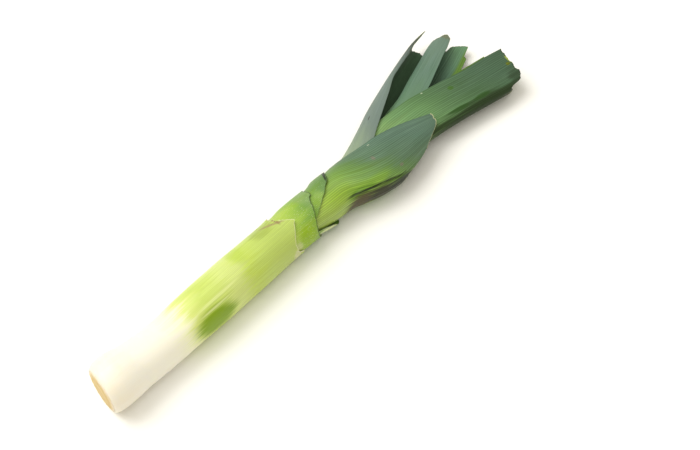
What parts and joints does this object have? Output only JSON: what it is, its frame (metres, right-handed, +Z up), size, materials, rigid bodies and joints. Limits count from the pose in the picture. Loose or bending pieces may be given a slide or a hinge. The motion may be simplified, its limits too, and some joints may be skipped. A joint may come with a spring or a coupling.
{
  "type": "leek",
  "caption": "Fresh trimmed leek lying on its side: white shaft with root plate, cut sheaths and a fan of folded green leaves.",
  "frame": {"origin": "on the surface that the leek lies on, under the middle of the white shaft", "axes": "+X along the leek from the root end to the leaf tips, +Z up from the surface, +Y to the side that the left leaves spread to"},
  "size_m": [0.4222, 0.0925, 0.0384],
  "materials": {
    "root_tissue": "matte, fibrous cut stem tissue",
    "shaft_skin": "satin, white running to yellow-green, with fine lengthwise veins",
    "sheath_skin": "satin green with a waxy bloom near the cut rim",
    "leaf_blade": "waxy grey-green outside, darker green inside, with parallel veins",
    "young_leaf": "satin yellow-green"
  },
  "bodies": {
    "root": {"root_plate": "root_tissue", "outer_sheath": "shaft_skin", "second_sheath": "sheath_skin", "third_sheath": "sheath_skin", "right_cut_leaf": "leaf_blade", "left_outer_leaf": "leaf_blade", "right_long_leaf": "leaf_blade", "left_inner_leaf": "leaf_blade", "heart_leaf": "young_leaf"}
  },
  "joints": []
}
